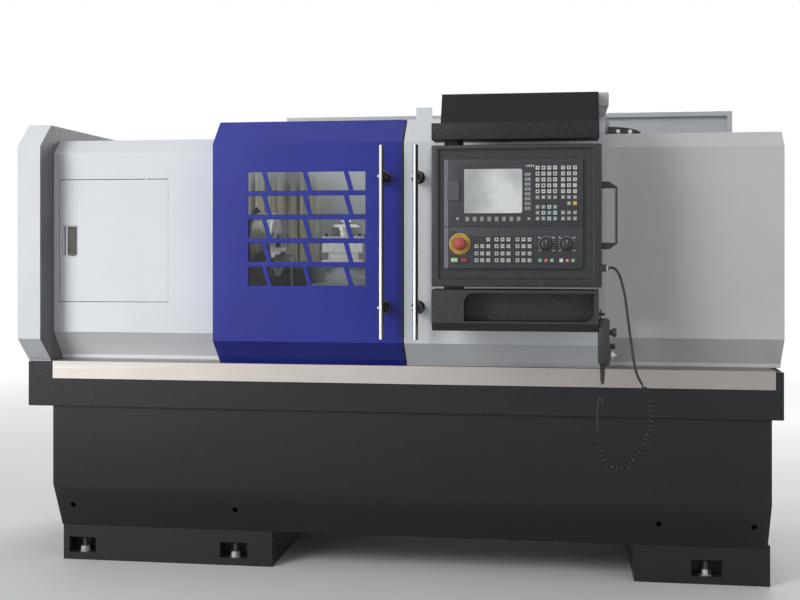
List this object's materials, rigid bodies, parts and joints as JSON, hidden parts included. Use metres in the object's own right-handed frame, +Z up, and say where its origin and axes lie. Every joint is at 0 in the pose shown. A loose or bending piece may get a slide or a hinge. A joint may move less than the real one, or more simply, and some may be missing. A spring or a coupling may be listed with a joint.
{
  "type": "cnc turning lathe",
  "caption": "Enclosed flat-bed CNC turning lathe with sliding front doors, a barred window, a swivelling operator panel and a cabled hand unit, on a footed base.",
  "frame": {"origin": "on the floor at the middle of the machine's length and depth, without the hand unit's cable", "axes": "+X along the bed from the headstock to the tailstock, +Y from the operator to the back, +Z up"},
  "size_m": [2.6, 1.3, 1.68],
  "materials": {
    "white_paint": "satin",
    "blue_paint": "gloss",
    "black_paint": "satin",
    "panel_powder_coat": "textured matte",
    "unit_plastic": "satin",
    "bright_steel": "brushed",
    "polished_steel": "polished",
    "cast_paint": "semi-matte paint",
    "light_grey_paint": "satin",
    "clear_glass": "clear",
    "screen_glass": "gloss",
    "key_plastic": "matte",
    "red_plastic": "satin",
    "green_plastic": "satin",
    "black_plastic": "matte",
    "cable_rubber": "matte",
    "drive_rubber": "matte"
  },
  "bodies": {
    "machine": {"base_cabinet": "black_paint", "chip_tray": "black_paint", "door_rail": "bright_steel", "lathe_bed": "cast_paint", "headstock_casting": "light_grey_paint", "headstock_cover": "white_paint", "end_cover": "white_paint", "right_guard": "white_paint", "upper_rail": "white_paint", "rear_guard": "light_grey_paint", "electrical_cabinet": "white_paint", "spindle_motor": "cast_paint", "drive_belt": "drive_rubber", "z_servo_motor": "black_paint", "screw_bracket": "cast_paint", "pendant_arm": "light_grey_paint", "arm_mount": "black_paint", "pendant_hood": "panel_powder_coat"},
    "left_door": {"left_door": "blue_paint", "left_door_glass": "clear_glass", "left_door_handle": "polished_steel"},
    "right_door": {"right_door": "white_paint", "right_door_handle": "polished_steel"},
    "access_door": {"access_door": "white_paint"},
    "access_latch": {"access_latch": "black_paint"},
    "pendant": {"pendant_box": "panel_powder_coat", "storage_box": "panel_powder_coat", "display_unit": "unit_plastic", "display_screen": "screen_glass", "control_panel": "unit_plastic", "upper_keys": "key_plastic", "lower_keys": "key_plastic", "pendant_grip": "black_plastic", "cable_gland": "polished_steel", "hand_unit_body": "black_plastic", "pendant_lead": "cable_rubber", "curly_cord": "cable_rubber", "hand_lead": "cable_rubber"},
    "emergency_stop": {"emergency_stop": "red_plastic"},
    "start_button": {"start_button": "green_plastic"},
    "stop_button": {"stop_button": "red_plastic"},
    "feed_knob": {"feed_knob": "black_plastic"},
    "spindle_knob": {"spindle_knob": "black_plastic"},
    "hand_wheel": {"hand_wheel": "bright_steel"},
    "spindle": {"spindle": "bright_steel", "chuck_body": "bright_steel"},
    "chuck_jaw_1": {"chuck_jaw_1": "bright_steel"},
    "chuck_jaw_2": {"chuck_jaw_2": "bright_steel"},
    "chuck_jaw_3": {"chuck_jaw_3": "bright_steel"},
    "motor_pulley": {"motor_pulley": "bright_steel"},
    "z_ballscrew": {"z_ballscrew": "bright_steel"},
    "saddle": {"saddle": "cast_paint", "x_servo_motor": "black_paint"},
    "cross_slide": {"cross_slide": "cast_paint", "turret_base": "light_grey_paint"},
    "turret": {"turret_head": "bright_steel"},
    "tailstock": {"tailstock_body": "light_grey_paint"},
    "quill": {"tailstock_quill": "bright_steel"},
    "live_centre": {"live_centre": "bright_steel"},
    "tail_wheel": {"tailstock_handwheel": "polished_steel"}
  },
  "joints": [
    {"name": "left_door_slide", "type": "slide", "parent": "machine", "child": "left_door", "axis": [1, 0, 0], "range_m": [-0.6, 0]},
    {"name": "right_door_slide", "type": "slide", "parent": "machine", "child": "right_door", "axis": [1, 0, 0], "range_m": [0, 0.49]},
    {"name": "access_door_hinge", "type": "hinge", "parent": "machine", "child": "access_door", "pos_m": [-0.7923, -0.283, 1.1505], "axis": [0, 0, 1], "range_deg": [0, 105]},
    {"name": "access_latch_turn", "type": "hinge", "parent": "access_door", "child": "access_latch", "pos_m": [-1.1293, -0.286, 1.1505], "axis": [0, 0, 1], "range_deg": [0, 40], "stiffness_Nm_per_rad": 0.6},
    {"name": "pendant_swivel", "type": "hinge", "parent": "machine", "child": "pendant", "pos_m": [0.242, -0.56, 1.445], "axis": [0, 0, -1], "range_deg": [0, 75]},
    {"name": "emergency_stop_press", "type": "slide", "parent": "pendant", "child": "emergency_stop", "axis": [0, 1, 0], "range_m": [0, 0.005], "stiffness_N_per_m": 1500},
    {"name": "start_press", "type": "slide", "parent": "pendant", "child": "start_button", "axis": [0, 1, 0], "range_m": [0, 0.003], "stiffness_N_per_m": 1500},
    {"name": "stop_press", "type": "slide", "parent": "pendant", "child": "stop_button", "axis": [0, 1, 0], "range_m": [0, 0.003], "stiffness_N_per_m": 1500},
    {"name": "feed_knob_turn", "type": "hinge", "parent": "pendant", "child": "feed_knob", "pos_m": [0.5311, -0.6193, 1.1375], "axis": [0, 1, 0], "range_deg": [-135, 135]},
    {"name": "spindle_knob_turn", "type": "hinge", "parent": "pendant", "child": "spindle_knob", "pos_m": [0.5933, -0.6193, 1.1375], "axis": [0, 1, 0], "range_deg": [-135, 135]},
    {"name": "hand_wheel_turn", "type": "hinge", "parent": "pendant", "child": "hand_wheel", "pos_m": [0.7238, -0.56, 0.7954], "axis": [1, 0, 0], "continuous": true},
    {"name": "spindle_turn", "type": "hinge", "parent": "machine", "child": "spindle", "pos_m": [-0.61, 0.137, 1.1346], "axis": [1, 0, 0], "continuous": true},
    {"name": "motor_turn", "type": "hinge", "parent": "machine", "child": "motor_pulley", "pos_m": [-1.135, 0.47, 0.6963], "axis": [1, 0, 0], "continuous": true},
    {"name": "jaw_1_slide", "type": "slide", "parent": "spindle", "child": "chuck_jaw_1", "axis": [0, 0, 1], "range_m": [-0.02, 0.015]},
    {"name": "jaw_2_slide", "type": "slide", "parent": "spindle", "child": "chuck_jaw_2", "axis": [0, -0.866, -0.5], "range_m": [-0.02, 0.015]},
    {"name": "jaw_3_slide", "type": "slide", "parent": "spindle", "child": "chuck_jaw_3", "axis": [0, 0.866, -0.5], "range_m": [-0.02, 0.015]},
    {"name": "saddle_slide", "type": "slide", "parent": "machine", "child": "saddle", "axis": [1, 0, 0], "range_m": [-0.12, 0.66]},
    {"name": "z_screw_turn", "type": "hinge", "parent": "machine", "child": "z_ballscrew", "pos_m": [0, -0.084, 0.7896], "axis": [1, 0, 0], "range_deg": [-4330, 23770]},
    {"name": "cross_slide_travel", "type": "slide", "parent": "saddle", "child": "cross_slide", "axis": [0, 1, 0], "range_m": [-0.06, 0.14]},
    {"name": "turret_turn", "type": "hinge", "parent": "cross_slide", "child": "turret", "pos_m": [-0.21, 0.012, 1.0505], "axis": [0, 0, 1], "continuous": true},
    {"name": "tailstock_slide", "type": "slide", "parent": "machine", "child": "tailstock", "axis": [1, 0, 0], "range_m": [-0.55, 0.06]},
    {"name": "quill_slide", "type": "slide", "parent": "tailstock", "child": "quill", "axis": [-1, 0, 0], "range_m": [0, 0.1]},
    {"name": "live_centre_turn", "type": "hinge", "parent": "quill", "child": "live_centre", "pos_m": [0.66, 0.137, 1.1346], "axis": [1, 0, 0], "continuous": true},
    {"name": "tail_wheel_turn", "type": "hinge", "parent": "tailstock", "child": "tail_wheel", "pos_m": [1.03, 0.137, 1.1346], "axis": [1, 0, 0], "range_deg": [-10, 7210]}
  ],
  "couplings": [
    {"joint": "motor_turn", "follows": "spindle_turn", "ratio": 1.5},
    {"joint": "jaw_2_slide", "follows": "jaw_1_slide", "ratio": 1},
    {"joint": "jaw_3_slide", "follows": "jaw_1_slide", "ratio": 1},
    {"joint": "z_screw_turn", "follows": "saddle_slide", "rad_per_m": 628.32},
    {"joint": "tail_wheel_turn", "follows": "quill_slide", "rad_per_m": 1256.6}
  ]
}
